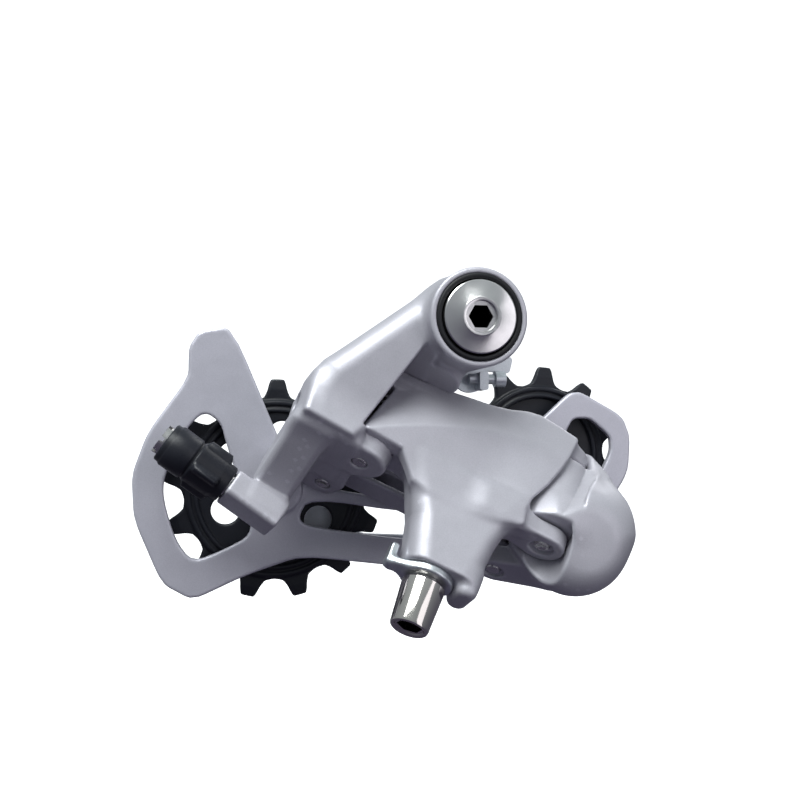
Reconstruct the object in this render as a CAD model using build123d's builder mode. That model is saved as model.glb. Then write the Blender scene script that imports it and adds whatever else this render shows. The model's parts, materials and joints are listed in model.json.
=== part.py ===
from build123d import *
import os
from math import cos, radians, sin

# Rear derailleur, millimetres. +X forward, +Y inboard along the mounting bolt, +Z up.
# The origin is on the mounting bolt's axis, in the plane of the frame hanger's outer face.

# ---- driving dimensions ----
clear = 0.3             # gap between pieces that move past each other
fit = 0.03              # radial clearance of a running fit

# mounting pivot
thread_r = 5.0          # M10 thread
thread_length = 9.0
shaft_r = 6.0
head_r = 8.4
head_face = -27.8
head_edge = -26.9
head_base = -23.9
barrel_r = 11.4
barrel_face = -26.1
barrel_end = -3.6
bush_wall = 1.2
allen = 5.0             # hexagon key of both large bolts

# slanted parallelogram: the four link pins are parallel
pin_tilt = radians(62)      # pins against the mounting axis
pin_heading = radians(61)   # pins above forward, seen from the side
link_origin = Vector(-25.7, -16.0, -32.8)   # outer bracket pin, at the lower ear's face
link_length = 46.86
link_angle = -6             # links at rest, in the plane across the pins
pin_spread = (-3.0, 17.0)   # from each outer pin to its inner pin, across the pins
swing = 50                  # degrees from the smallest to the largest sprocket
pin_r = 2.0
ear_low, ear_low_top = 0.0, 4.0
outer_low, outer_top = 4.3, 24.6
ear_top, ear_top_end = 24.9, 29.2
inner_low, inner_top, inner_toe_top = 4.3, 10.0, 9.3
wall_out, wall_in = -6.0, -3.4      # outer link's outboard wall, from the line of its pins

# cage
cage_x, cage_z = 26.0, -51.0        # cage pivot
knuckle_r = 13.5
knuckle_face, knuckle_end = -25.0, 3.6
axle_r = 4.2
plate_out, plate_in = (5.5, 7.5), (16.5, 18.3)
guide = (27.6, -31.6)
tension = (-42.4, -39.9)
chain_pitch = 12.7
guide_teeth, tension_teeth = 11, 13
wheel_y = 12.0
tooth_width = 2.2
bush_r = 4.0
cage_bolt_r = 2.5
stop_pin_r, stop_pin_at, stop_lug_at = 1.6, 205, 192.5

# cable adjuster
adjuster_mouth = Vector(-54.7, -8.0, -38.1)     # where its axis leaves the bracket
adjuster_axis = Vector(-0.806, 0, 0.592)
block_turn = 27.8
block_length = 13.8
screw_r = 2.5
cable_r = 1.0

os.makedirs("parts", exist_ok=True)


# ---- planes and small helpers ----
pin_axis = Vector(sin(pin_tilt) * cos(pin_heading), cos(pin_tilt), sin(pin_tilt) * sin(pin_heading))
link_forward = Vector(sin(pin_heading), 0, -cos(pin_heading))
link_inboard = pin_axis.cross(link_forward)


def side(y):
    """The plane at y, seen from outboard: local x is forward and local y is up."""
    return Plane(origin=(0, y, 0), x_dir=(1, 0, 0), z_dir=(0, -1, 0))


def across(height, turn=0.0, at=(0, 0)):
    """The plane across the link pins at a height along them, its x turned from the bracket's."""
    x_dir = link_forward * cos(radians(turn)) + link_inboard * sin(radians(turn))
    origin = link_origin + link_forward * at[0] + link_inboard * at[1] + pin_axis * height
    return Plane(origin=origin, x_dir=x_dir, z_dir=pin_axis)


def facing(offset, turn=0.0, at=(0, 0)):
    """The plane along a link, seen from outboard: local x runs along the link, local y along the pins."""
    flat = across(0, turn, at)
    return Plane(origin=flat.origin + flat.y_dir * offset, x_dir=flat.x_dir, z_dir=-flat.y_dir)


def beside(along):
    """The plane square to the bracket's links at a distance along them: local x is inboard, local y up."""
    flat = across(0, at=(along, 0))
    return Plane(origin=flat.origin, x_dir=flat.y_dir, z_dir=flat.x_dir)


def round_bar(plane, length, radius, at=(0, 0), mode=Mode.ADD):
    """A cylinder from plane, along its normal."""
    with BuildSketch(plane) as profile:
        with Locations(at):
            Circle(radius)
    extrude(profile.sketch, amount=length, mode=mode)


def round_y(y_out, y_in, radius, at=(0, 0), mode=Mode.ADD):
    """A cylinder along the mounting axis, from y_out to y_in."""
    round_bar(side(y_in), y_in - y_out, radius, at, mode)


def ring_y(y_out, y_in, outer, inner, at=(0, 0)):
    """A ring round an axis along Y, as a part of its own."""
    with BuildPart() as ring:
        round_y(y_out, y_in, outer, at)
        round_y(y_out, y_in, inner, at, Mode.SUBTRACT)
    return ring.part


def hull_bar(plane, length, circles, mode=Mode.ADD):
    """A bar with the outline of a belt round some circles, each (x, y, radius)."""
    with BuildSketch(plane) as outline:
        for x, y, radius in circles:
            with Locations((x, y)):
                Circle(radius)
        make_hull()
    extrude(outline.sketch, amount=length, mode=mode)


def plate_bar(plane, length, points, radius, mode=Mode.ADD):
    """A bar whose outline is a polygon with rounded corners."""
    with BuildSketch(plane) as outline:
        with BuildLine():
            FilletPolyline(*points, radius=radius, close=True)
        make_face()
    extrude(outline.sketch, amount=length, mode=mode)


def hexagon(plane, length, across_flats, at=(0, 0), mode=Mode.SUBTRACT):
    """A hexagonal socket or bar."""
    with BuildSketch(plane) as outline:
        with Locations(at):
            RegularPolygon(across_flats / 2, 6, major_radius=False)
    extrude(outline.sketch, amount=length, mode=mode)


def torsion_spring(plane, mean_r, wire_r, pitch, turns):
    """A coil standing on plane, wound round its normal."""
    coil = Helix(pitch, pitch * turns, mean_r)
    start = Plane(origin=coil @ 0, z_dir=coil % 0)
    with BuildSketch(start) as section:
        Circle(wire_r)
    with BuildPart() as spring:
        sweep(section.sketch, path=coil, is_frenet=True)
    return plane.location * spring.part


def finish(part, name):
    part.label = name
    export_step(part, f"parts/{name}.step")
    return part


# ---- mounting bolt and hanger plate: fixed to the frame ----
socket_depth = 6.0
groove = (-1.5, -0.5)
groove_r = 5.3
with BuildPart() as mounting_bolt:
    with BuildSketch(Plane.XY):
        with BuildLine():
            Polyline(
                (0, head_face),
                (4.2, head_face),
                (head_r, head_edge),
                (head_r, head_base),
                (shaft_r, head_base),
                (shaft_r, groove[0]),
                (groove_r, groove[0]),
                (groove_r, groove[1]),
                (shaft_r, groove[1]),
                (shaft_r, 0),
                (thread_r, 0),
                (thread_r, thread_length - 0.9),
                (thread_r - 0.9, thread_length),
                (0, thread_length),
                close=True,
            )
        make_face()
    revolve(axis=Axis.Y)
    hexagon(side(head_face + socket_depth), socket_depth, allen)
    round_y(head_face, head_face + 0.9, 3.5, mode=Mode.SUBTRACT)
finish(mounting_bolt.part, "mounting_bolt")

screw_x, screw_y, screw_z = 3.6, -5.0, -12.6    # hanger screw: tip, and its axis
screw_thread_r, screw_head_r, screw_length = 1.25, 2.0, 9.2
plate_y = (-3.2, -1.7)
with BuildPart() as stopper_plate:
    hull_bar(side(plate_y[1]), plate_y[1] - plate_y[0], [(0, 0, 10.6), (4.5, -11.5, 4.4)])
    plate_bar(side(plate_y[1]), plate_y[1] - plate_y[0], [(4, -4), (4, -10), (14.8, -11), (15.8, -7)], 1.0)
    # the tab that carries the screw turns outboard
    plate_bar(side(plate_y[0] + 0.3), 4.8, [(5.7, -10.9), (7.9, -10.9), (7.9, -15.4), (5.7, -15.4)], 0.6)
    round_y(plate_y[0] - 1, plate_y[1] + 1, shaft_r + fit, mode=Mode.SUBTRACT)
    screw_plane = Plane(origin=(0, screw_y, screw_z), x_dir=(0, 1, 0), z_dir=(1, 0, 0))
    round_bar(screw_plane, 20, screw_thread_r + fit, mode=Mode.SUBTRACT)
finish(stopper_plate.part, "stopper_plate")

with BuildPart() as bolt_snap_ring:
    round_y(groove[0] + 0.05, groove[1] - 0.05, 8.2)
    round_y(groove[0], groove[1], groove_r + fit, mode=Mode.SUBTRACT)
    plate_bar(side(groove[1]), 2, [(-2.6, 0), (2.6, 0), (3.6, 12), (-3.6, 12)], 0.4, Mode.SUBTRACT)
finish(bolt_snap_ring.part, "bolt_snap_ring")

with BuildPart() as hanger_screw:
    tip = Plane(origin=(screw_x, screw_y, screw_z), x_dir=(0, 1, 0), z_dir=(1, 0, 0))
    round_bar(tip, screw_length, screw_thread_r)
    round_bar(tip.offset(6.6), 2.6, screw_head_r)
    for turn in (0, 90):
        with BuildSketch(tip.offset(screw_length)) as cross:
            Rectangle(2.6, 0.6, rotation=turn)
        extrude(cross.sketch, amount=-1.1, mode=Mode.SUBTRACT)
finish(hanger_screw.part, "hanger_tension_screw")


# ---- bracket: turns on the mounting bolt and carries the two links ----
inner_pin = pin_spread
inner_ear = (inner_top + clear, inner_top + clear + 2.2)
arm_out, arm_in = -21.5, -5.0
bush_out = (-23.4, -18.4)
bush_in = (-8.6, barrel_end)
spring_room = (-18.2, -8.8)
limit_heights = (6.5, 13.0)
limit_seat, limit_inboard = -15.0, 1.5
limit_r, limit_head_r, limit_head = 1.5, 2.5, 2.0
adjuster = Plane(origin=adjuster_mouth, x_dir=(0, 1, 0), z_dir=adjuster_axis)
with BuildPart() as bracket_body:
    # the arm runs tangent from the barrel, down and back
    plate_bar(
        side(arm_in),
        arm_in - arm_out,
        [(-5, 9.2), (-6.5, 9.4), (-37.4, -12.1), (-41.6, -24.5), (-40, -46), (-27, -40), (-14, -8), (-4, -9)],
        0.9,
    )
    # the web behind the links
    plate_bar(
        facing(9.0),
        18.0,
        [(-5.0, 0), (-17.5, 0), (-19.3, 12), (-11, 27.5), (-2, 29.2), (3, 29.2), (3, 24.9)],
        1.5,
    )
    # keep only what stands above the lower ear's face
    with BuildSketch(across(0)) as below:
        Rectangle(200, 200)
    extrude(below.sketch, amount=-80, mode=Mode.SUBTRACT)
    # upper ear, between the outer pin and the barrel
    hull_bar(across(ear_top), ear_top_end - ear_top, [(0, 0, 6.0), (-9, 2, 7.0), (8, -9, 5.0)])
    # lower ear, under both pins
    ear_points = [
        (6.4, -2.0),
        (3.0, -5.8),
        (-4.0, -6.4),
        (-16.5, -6.4),
        (-18.0, 0.0),
        (-17.0, 17.0),
        (-12.0, 21.6),
        (0.0, 21.6),
        (1.8, 15.0),
        (0.8, 8.5),
        (5.6, 4.0),
    ]
    plate_bar(across(ear_low), ear_low_top - ear_low, ear_points, 1.7)
    # upper ear of the inner pin, with the short wall that carries it
    hull_bar(across(inner_ear[0]), inner_ear[1] - inner_ear[0], [(*inner_pin, 4.2), (-12, 7, 5.0)])
    hull_bar(across(ear_low), inner_ear[1], [(-13.5, 14, 2.6), (-13, 6, 4.0)])
    # fork gap for both links
    gap = [(-6.3, ear_low_top), (60, ear_low_top), (60, ear_top), (-2.4, ear_top)]
    with BuildSketch(facing(24)) as fork:
        Polygon(*gap, align=None)
    extrude(fork.sketch, amount=54, mode=Mode.SUBTRACT)
    round_bar(across(ear_low_top), ear_top - ear_low_top, 5.3, mode=Mode.SUBTRACT)
    # put back the inner pin's upper ear, which stands inside the gap
    hull_bar(across(inner_ear[0]), inner_ear[1] - inner_ear[0], [(*inner_pin, 4.2), (-12, 7, 5.0)])
    # barrel
    round_y(barrel_face, barrel_end, barrel_r)
    # neck from the web down to the adjuster block
    neck = [(-4.5, 1.5), (-5.5, -0.5), (12.5, -9.6), (12.5, -14.6), (20.0, -14.6), (20.6, -6), (20.6, 2.5)]
    plate_bar(beside(-18.4), 9.6, neck, 0.8)
    # adjuster block
    with BuildSketch(adjuster) as block:
        RectangleRounded(8.6, 6.6, 0.8, rotation=block_turn)
    extrude(block.sketch, amount=-block_length)
    # bores
    round_bar(adjuster.offset(1), 9.5, screw_r, mode=Mode.SUBTRACT)
    round_bar(adjuster.offset(1), -9.5, screw_r, mode=Mode.SUBTRACT)
    round_bar(adjuster, -block_length - 12, cable_r + 0.3, mode=Mode.SUBTRACT)
    round_bar(across(-1), ear_top_end + 2, pin_r, mode=Mode.SUBTRACT)
    round_bar(across(-1), inner_ear[1] + 2, pin_r, inner_pin, Mode.SUBTRACT)
    round_y(barrel_face - 1, -24.7, 10.0, mode=Mode.SUBTRACT)
    round_y(barrel_face - 1, bush_out[0], head_r + 0.35, mode=Mode.SUBTRACT)
    round_y(barrel_face - 1, barrel_end + 12, shaft_r + bush_wall, mode=Mode.SUBTRACT)
    round_y(*spring_room, 9.4, mode=Mode.SUBTRACT)
    # limit screw holes through the web, with spot faces for the heads
    for height in limit_heights:
        screw_seat = Plane(origin=across(height, at=(limit_seat, limit_inboard)).origin, z_dir=link_forward)
        round_bar(screw_seat, 12, limit_r + fit, mode=Mode.SUBTRACT)
        round_bar(screw_seat, -14, limit_head_r + clear, mode=Mode.SUBTRACT)
finish(bracket_body.part, "bracket_body")

seal = ring_y(-26.35, -24.7, 10.0, head_r + 0.35)
finish(seal, "bolt_seal_ring")

with BuildPart() as pivot_bushes:
    for y_out, y_in in (bush_out, bush_in):
        round_y(y_out, y_in, shaft_r + bush_wall)
    round_y(bush_out[0] - 1, bush_in[1] + 1, shaft_r + fit, mode=Mode.SUBTRACT)
finish(pivot_bushes.part, "bracket_pivot_bushes")

pivot_spring = torsion_spring(side(-9.9), 8.3, 0.8, 1.9, 3.4)
finish(pivot_spring, "bracket_pivot_spring")


def link_pin(name, at, low, high):
    with BuildPart() as pin:
        round_bar(across(low), high - low, pin_r, at)
        # riveted ends, dished at the lower one
        round_bar(across(low - 0.6), 0.8, pin_r - 0.5, at)
        round_bar(across(low - 0.6), 0.7, pin_r - 1.1, at, Mode.SUBTRACT)
    return finish(pin.part, name)


link_pin("bracket_outer_link_pin", (0, 0), 0.6, ear_top_end)
link_pin("bracket_inner_link_pin", inner_pin, 0.6, inner_ear[1])

for name, height in zip(("low_limit_screw", "high_limit_screw"), limit_heights):
    with BuildPart() as limit_screw:
        seat = Plane(origin=across(height, at=(limit_seat, limit_inboard)).origin, z_dir=link_forward)
        tip_length = 7.6 if name == "high_limit_screw" else 7.2
        round_bar(seat, tip_length, limit_r)
        round_bar(seat.offset(-limit_head), limit_head, limit_head_r)
        for turn in (0, 90):
            with BuildSketch(seat.offset(-limit_head)) as cross:
                Rectangle(3.4, 0.7, rotation=turn)
            extrude(cross.sketch, amount=1.1, mode=Mode.SUBTRACT)
    finish(limit_screw.part, name)


# ---- cable adjuster ----
knob_gap = 0.35
knob_length = 17.3
with BuildPart() as adjuster_knob:
    round_bar(adjuster.offset(knob_gap), knob_length - knob_gap, 4.5)
    round_bar(adjuster.offset(9.2), knob_length - 9.2, 5.15)
    with BuildSketch(adjuster.offset(2.6)) as lobes:
        with PolarLocations(4.6, 4, start_angle=35):
            Circle(1.9)
    extrude(lobes.sketch, amount=8.4)
    round_bar(adjuster.offset(-0.5), 9.9, screw_r + fit, mode=Mode.SUBTRACT)
    round_bar(adjuster.offset(9.0), 12, 3.6, mode=Mode.SUBTRACT)
finish(adjuster_knob.part, "adjuster_knob")

with BuildPart() as adjuster_screw:
    # threaded tube in the block, and a slotted socket for the cable housing in the knob
    round_bar(adjuster.offset(-8.2), 17.4, screw_r)
    round_bar(adjuster.offset(9.2), 9.4, 3.6)
    round_bar(adjuster.offset(9.2 + 1.2), 10, 2.6, mode=Mode.SUBTRACT)
    round_bar(adjuster.offset(-9), 22, cable_r, mode=Mode.SUBTRACT)
    for turn in (0, 60, 120):
        with BuildSketch(adjuster.offset(18.6)) as slot:
            Rectangle(9, 1.1, rotation=turn)
        extrude(slot.sketch, amount=-0.9, mode=Mode.SUBTRACT)
finish(adjuster_screw.part, "adjuster_screw")


# ---- outer link: a cast shell with the cable clamp on its nose ----
clamp_at = (23.9, 1.8)
nose_face = -17.0
clamp_r = 2.5
outer_pin = (link_length, 0)
toe_low, toe_low_top = 0.7, 4.9
toe_high, toe_high_top = 24.4, 28.6


def outer(height):
    return across(height, link_angle)


with BuildPart() as outer_link:
    # outboard wall, deeper towards the knuckle
    wall = [
        (-2.2, outer_low),
        (1.6, outer_top - 0.4),
        (15.0, outer_top),
        (25.0, 26.8),
        (37.0, 29.2),
        (46.6, 28.6),
        (45.7, 21.7),
        (42.4, 12.0),
        (38.4, 3.0),
        (39.4, 0.7),
        (12.0, 1.2),
        (7.0, outer_low),
    ]
    plate_bar(facing(wall_in, link_angle), wall_in - wall_out, wall, 0.9)
    # eyes for the bracket pin, and the flanges that tie them to the wall
    for low, high in ((outer_low, 9.0), (19.8, outer_top)):
        round_bar(outer(low), high - low, 5.0)
        plate_bar(outer(low), high - low, [(-0.5, wall_out + 0.4), (5.0, wall_out + 0.4), (4.6, 1), (-0.5, 1)], 0.3)
    plate_bar(outer(22.4), outer_top - 22.4, [(0, -5.4), (36, -5.4), (38.5, 3.2), (0, 4.4)], 0.5)
    plate_bar(outer(outer_low), 2.4, [(0, -5.4), (16, -5.4), (16, 4.6), (0, 4.6)], 0.5)
    # toes either side of the knuckle's lug
    for low, high, root in ((toe_low, toe_low_top, 30.0), (toe_high, toe_high_top, 33.5)):
        hull_bar(outer(low), high - low, [(*outer_pin, 5.3), (root, -2.6, 3.2), (root, 2.2, 1.6)])
    # nose
    with BuildSketch(outer(toe_low_top)):
        with Locations((24.4, -0.6)):
            RectangleRounded(28.0, 10.6, 3.0)
    with BuildSketch(outer(-7.0)):
        with Locations((25.4, 0.5)):
            RectangleRounded(20.4, 12.2, 4.4)
    with BuildSketch(outer(nose_face)):
        with Locations((25.9, 1.2)):
            RectangleRounded(17.0, 12.6, 5.0)
    loft()
    # shoulder beside the clamp, which stops its plate from turning
    hull_bar(outer(nose_face - 3.6), 6.0, [(32.2, -1.4, 2.2), (32.2, 4.0, 2.2)])
    # bores
    round_bar(outer(-1), 31, pin_r + fit, mode=Mode.SUBTRACT)
    round_bar(outer(-1), 31, pin_r, outer_pin, Mode.SUBTRACT)
    round_bar(outer(nose_face - 1), 15.0, clamp_r, clamp_at, Mode.SUBTRACT)
    round_bar(outer(toe_low - 2), 3.0, 3.0, outer_pin, Mode.SUBTRACT)
finish(outer_link.part, "outer_link")

plate_thick = 2.0
neck = 0.7
with BuildPart() as cable_clamp_plate:
    low = nose_face - plate_thick
    round_bar(outer(low), plate_thick, 5.7, clamp_at)
    # hooked ear that turns up beside the nose
    plate_bar(outer(low), plate_thick, [(15.0, 0.2), (21, -3), (21, 5), (15.0, 3.6)], 0.8)
    plate_bar(outer(low), 6.0, [(14.0, 0.2), (15.4, 0.2), (15.4, 3.6), (14.0, 3.6)], 0.5)
    round_bar(outer(low - 1), 8, clamp_r, clamp_at, Mode.SUBTRACT)
finish(cable_clamp_plate.part, "cable_clamp_plate")

clamp_head_low = -30.3
clamp_head_top = nose_face - plate_thick - neck
with BuildPart() as cable_bolt:
    round_bar(outer(clamp_head_top), 13.4, clamp_r, clamp_at)
    round_bar(outer(clamp_head_top), neck, 4.0, clamp_at)
    with BuildSketch(outer(clamp_head_low)):
        with Locations(clamp_at):
            Circle(4.3)
    with BuildSketch(outer(clamp_head_top)):
        with Locations(clamp_at):
            Circle(4.95)
    loft()
    hexagon(outer(clamp_head_low), 5.5, allen, clamp_at)
finish(cable_bolt.part, "cable_fixing_bolt")

with BuildPart() as knuckle_outer_pin:
    round_bar(outer(1.4), toe_high_top - 1.4, pin_r, outer_pin)
    round_bar(outer(1.4), 0.6, pin_r - 0.9, outer_pin, Mode.SUBTRACT)
finish(knuckle_outer_pin.part, "knuckle_outer_link_pin")

return_spring = torsion_spring(outer(9.9), 2.72, 0.55, 1.75, 5)
finish(return_spring, "link_return_spring")


# ---- inner link: a channel, open outboard ----
def inner(height):
    return across(height, link_angle, inner_pin)


with BuildPart() as inner_link:
    hull_bar(inner(inner_low), inner_top - inner_low, [(0, 0, 3.8), (link_length, 0, 3.8)])
    with BuildSketch(inner(inner_low + 1.4)) as hollow:
        with Locations((link_length / 2, -6.4)):
            Rectangle(link_length + 20, 16.0)
    extrude(hollow.sketch, amount=inner_top - inner_low - 2.8, mode=Mode.SUBTRACT)
    # the far end steps down to clear the knuckle
    with BuildSketch(facing(8, link_angle, inner_pin)) as toe:
        Polygon((34, inner_top + 1), (40, inner_toe_top), (60, inner_toe_top), (60, inner_top + 1), align=None)
    extrude(toe.sketch, amount=20, mode=Mode.SUBTRACT)
    hull_bar(inner(inner_toe_top - 1.4), 1.4, [(41, 0, 3.8), (link_length, 0, 3.8)])
    with BuildSketch(facing(8, link_angle, inner_pin)) as window:
        with Locations((19, (inner_low + inner_top) / 2)):
            SlotOverall(9, 3.2)
    extrude(window.sketch, amount=7, mode=Mode.SUBTRACT)
    for x in (0, link_length):
        round_bar(inner(0), 20, pin_r + fit, (x, 0), Mode.SUBTRACT)
finish(inner_link.part, "inner_link")


# ---- knuckle: carried by the links, and holds the cage pivot ----
toe_x = link_length * cos(radians(link_angle))
toe_y = link_length * sin(radians(link_angle))
knuckle_outer = (toe_x, toe_y)
knuckle_inner = (toe_x + pin_spread[0], toe_y + pin_spread[1])
lug_low, lug_top = toe_low_top + clear, toe_high - clear
flange_low, flange_low_top = -1.2, inner_low - clear
flange_high, flange_high_top = inner_toe_top + clear, inner_toe_top + clear + 2.4
cage_axis = (cage_x, cage_z)
spring_bore = (-7.9, knuckle_end)
axle_bush = (-13.2, -8.2)
ring_room = (-15.0, -13.2)
with BuildPart() as p_knuckle:
    round_y(knuckle_face, knuckle_end, knuckle_r, cage_axis)
    fillet(p_knuckle.edges().group_by(Axis.Y)[0], 7.5)
    # shoulder that rises to the outer link's pin
    hull_bar(side(0.5), 17.5, [(cage_x, cage_z, 13.2), (28.6, -37.0, 7.4)])
    round_bar(across(lug_low), lug_top - lug_low, 6.2, knuckle_outer)
    # flanges either side of the inner link's toe
    hull_bar(across(flange_low), flange_low_top - flange_low, [(*knuckle_inner, 4.7), (53, 4, 5.0)])
    hull_bar(across(flange_high), flange_high_top - flange_high, [(*knuckle_inner, 3.5), (52, 9, 3.0)])
    # stop for the cage
    arm = (
        cage_x + 15.9 * cos(radians(stop_lug_at)),
        cage_z + 15.9 * sin(radians(stop_lug_at)),
    )
    hull_bar(side(knuckle_end), 2.4, [(*arm, 1.2), (cage_x, cage_z, 6.0)])
    # room for both links through the whole swing
    for step in range(0, swing + 1, 10):
        swung = link_angle + step
        for low, high in ((-24.0, toe_low_top), (toe_high, toe_high_top + 8)):
            hull_bar(
                across(low - clear, swung, knuckle_outer),
                high - low + 2 * clear,
                [(0, 0, 5.3 + clear), (-3.0, -1.2, 6.2), (-9.5, 0.8, 7.6), (-36, 0.8, 7.6)],
                Mode.SUBTRACT,
            )
        plate_bar(
            across(toe_low_top - 1, swung, knuckle_outer),
            toe_high - toe_low_top + 2,
            [(-40, -9), (0.2, -9), (0.2, wall_out), (-0.5, wall_in + clear), (-6.6, 1), (-7.2, 7), (-40, 7)],
            0.2,
            Mode.SUBTRACT,
        )
        hull_bar(
            across(inner_low - clear, swung, knuckle_inner),
            inner_toe_top - inner_low + 2 * clear,
            [(0, 0, 3.8 + clear), (-30, 0, 3.8 + clear)],
            Mode.SUBTRACT,
        )
        hull_bar(
            across(inner_low - clear, swung, knuckle_inner),
            inner_top - inner_low + 2 * clear,
            [(-10.5, 0, 3.8 + clear), (-30, 0, 3.8 + clear)],
            Mode.SUBTRACT,
        )
    # bores
    round_bar(across(-3), 32, pin_r + fit, knuckle_outer, Mode.SUBTRACT)
    round_bar(across(-3), flange_high_top + 3, pin_r, knuckle_inner, Mode.SUBTRACT)
    round_bar(across(flange_low), 0.9, 3.0, knuckle_inner, Mode.SUBTRACT)
    round_y(*ring_room, 6.2, cage_axis, Mode.SUBTRACT)
    round_y(axle_bush[0], 0, axle_r + bush_wall, cage_axis, Mode.SUBTRACT)
    round_y(*spring_bore, 8.6, cage_axis, Mode.SUBTRACT)
finish(p_knuckle.part, "knuckle_body")

finish(ring_y(*axle_bush, axle_r + bush_wall, axle_r + fit, cage_axis), "cage_pivot_bush")
cage_spring = torsion_spring(
    Plane(origin=(cage_x, 2.4, cage_z), x_dir=(1, 0, 0), z_dir=(0, -1, 0)), 6.9, 0.8, 1.9, 3.9
)
finish(cage_spring, "cage_return_spring")
with BuildPart() as knuckle_inner_pin:
    round_bar(across(flange_low + 0.9), flange_high_top - flange_low - 0.9, pin_r, knuckle_inner)
    round_bar(across(flange_low + 0.3), 0.8, pin_r - 0.5, knuckle_inner)
    round_bar(across(flange_low + 0.3), 0.6, pin_r - 1.1, knuckle_inner, Mode.SUBTRACT)
finish(knuckle_inner_pin.part, "knuckle_inner_link_pin")


# ---- cage: two plates on the pivot axle, with both wheels between them ----
axle_groove = (-14.0, -13.4)
axle_groove_r = axle_r - 0.6
with BuildPart() as cage_axle:
    round_y(-14.7, plate_out[1], axle_r, cage_axis)
    round_y(knuckle_end + clear, plate_out[0], 9.0, cage_axis)
    round_y(*axle_groove, axle_r + 1, cage_axis, Mode.SUBTRACT)
    round_y(*axle_groove, axle_groove_r, cage_axis)
finish(cage_axle.part, "cage_axle")

finish(ring_y(-13.95, -13.45, 5.8, axle_groove_r + fit, cage_axis), "axle_snap_ring")

pin_x = cage_x + 15.7 * cos(radians(stop_pin_at))
pin_z = cage_z + 15.7 * sin(radians(stop_pin_at))
with BuildPart() as stop_pin:
    round_y(1.2, plate_out[1], stop_pin_r, (pin_x, pin_z))
finish(stop_pin.part, "cage_stop_pin")

out_thick = plate_out[1] - plate_out[0]
with BuildPart() as outer_plate:
    # body round the tension wheel, with the horn that meets the frame end
    body = [
        (-53.8, 0.2),
        (-61.5, -1.2),
        (-63.9, -5.0),
        (-64.0, -12.5),
        (-73.5, -26.0),
        (-77.0, -36.0),
        (-76.4, -46.5),
        (-69.8, -62.0),
        (-62.6, -66.2),
        (-50.0, -60.6),
        (-36.5, -56.3),
        (-8.9, -59.9),
        (14.0, -62.4),
        (14.0, -42.5),
        (-8.0, -43.6),
        (-33.0, -39.3),
        (-38.6, -35.8),
    ]
    plate_bar(side(plate_out[1]), out_thick, body, 1.6)
    round_y(*plate_out, 12.6, cage_axis)
    hull_bar(side(plate_out[1]), out_thick, [(cage_x, cage_z, 12.0), (*guide, 7.5)])
    # windows
    window = [
        (-60.2, -20.6),
        (-56.2, -23.4),
        (-54.8, -29.0),
        (-49.4, -44.5),
        (-48.6, -51.0),
        (-55.5, -54.5),
        (-62.8, -57.2),
        (-66.8, -51.7),
        (-69.7, -42.0),
        (-69.6, -36.5),
        (-64.6, -25.0),
    ]
    plate_bar(side(plate_out[1] + 1), out_thick + 2, window, 1.7, Mode.SUBTRACT)
    slot_points = [(-37.4, -47.3), (-34.6, -42.1), (-8.0, -46.4), (6.0, -45.6), (6.5, -53.6), (-8.9, -53.1), (-34.0, -49.3)]
    plate_bar(side(plate_out[1] + 1), out_thick + 2, slot_points, 1.6, Mode.SUBTRACT)
    # guard loop in front of the guide wheel
    loop = [
        (22.8, -26.0),
        (27.2, -22.2),
        (34.8, -15.4),
        (38.0, -15.2),
        (49.6, -21.4),
        (51.8, -27.0),
        (51.1, -36.5),
        (44.7, -46.0),
        (29.5, -52.7),
        (23.8, -43.1),
    ]
    plate_bar(side(plate_out[1]), out_thick, loop, 1.9)
    loop_hole = [(33.3, -26.0), (35.7, -22.0), (40.5, -22.0), (46.2, -26.8), (46.4, -30.8), (42.3, -38.9), (34.2, -40.3)]
    plate_bar(side(plate_out[1] + 1), out_thick + 2, loop_hole, 1.6, Mode.SUBTRACT)
    # raised seat of the tension wheel's bolt
    round_y(plate_out[0] - 0.5, plate_out[0], 6.0, tension)
    round_y(plate_out[0] - 1, plate_out[1], stop_pin_r, (pin_x, pin_z), Mode.SUBTRACT)
    for at in (guide, tension):
        round_y(plate_out[0] - 2, plate_out[1] + 1, cage_bolt_r, at, Mode.SUBTRACT)
    round_y(plate_out[0] - 2, plate_out[1] + 1, axle_r, cage_axis, Mode.SUBTRACT)
finish(outer_plate.part, "outer_cage_plate")

in_thick = plate_in[1] - plate_in[0]
with BuildPart() as inner_plate:
    arm_points = [(*tension, 8.0), (-22, -55.6, 3.4), (12, -57.6, 3.6), (26, -47, 9.0), (*guide, 8.0)]
    for first, second in zip(arm_points, arm_points[1:]):
        hull_bar(side(plate_in[1]), in_thick, [first, second])
    for at in (guide, tension):
        round_y(plate_in[0] - 1, plate_in[1] + 1, cage_bolt_r, at, Mode.SUBTRACT)
finish(inner_plate.part, "inner_cage_plate")

for name, at in {"guide": guide, "tension": tension}.items():
    tail = plate_out[0] - (0.5 if name == "tension" else 0.0)
    with BuildPart() as wheel_bolt:
        round_y(tail, plate_in[1], cage_bolt_r, at)
        round_y(plate_in[1], plate_in[1] + 1.8, 4.2, at)
        hexagon(side(plate_in[1] + 1.8), 1.6, 3.0, at)
    finish(wheel_bolt.part, f"{name}_wheel_bolt")
    with BuildPart() as wheel_bush:
        round_y(plate_out[1], plate_in[0], bush_r, at)
        round_y(plate_out[1], plate_in[0], cage_bolt_r, at, Mode.SUBTRACT)
    finish(wheel_bush.part, f"{name}_wheel_bush")
    with BuildPart() as wheel_caps:
        for y_out, y_in in ((plate_out[1], plate_out[1] + 0.8), (plate_in[0] - 0.8, plate_in[0])):
            round_y(y_out, y_in, 7.6, at)
        round_y(plate_out[1], plate_in[0], bush_r, at, Mode.SUBTRACT)
    finish(wheel_caps.part, f"{name}_wheel_caps")


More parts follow.
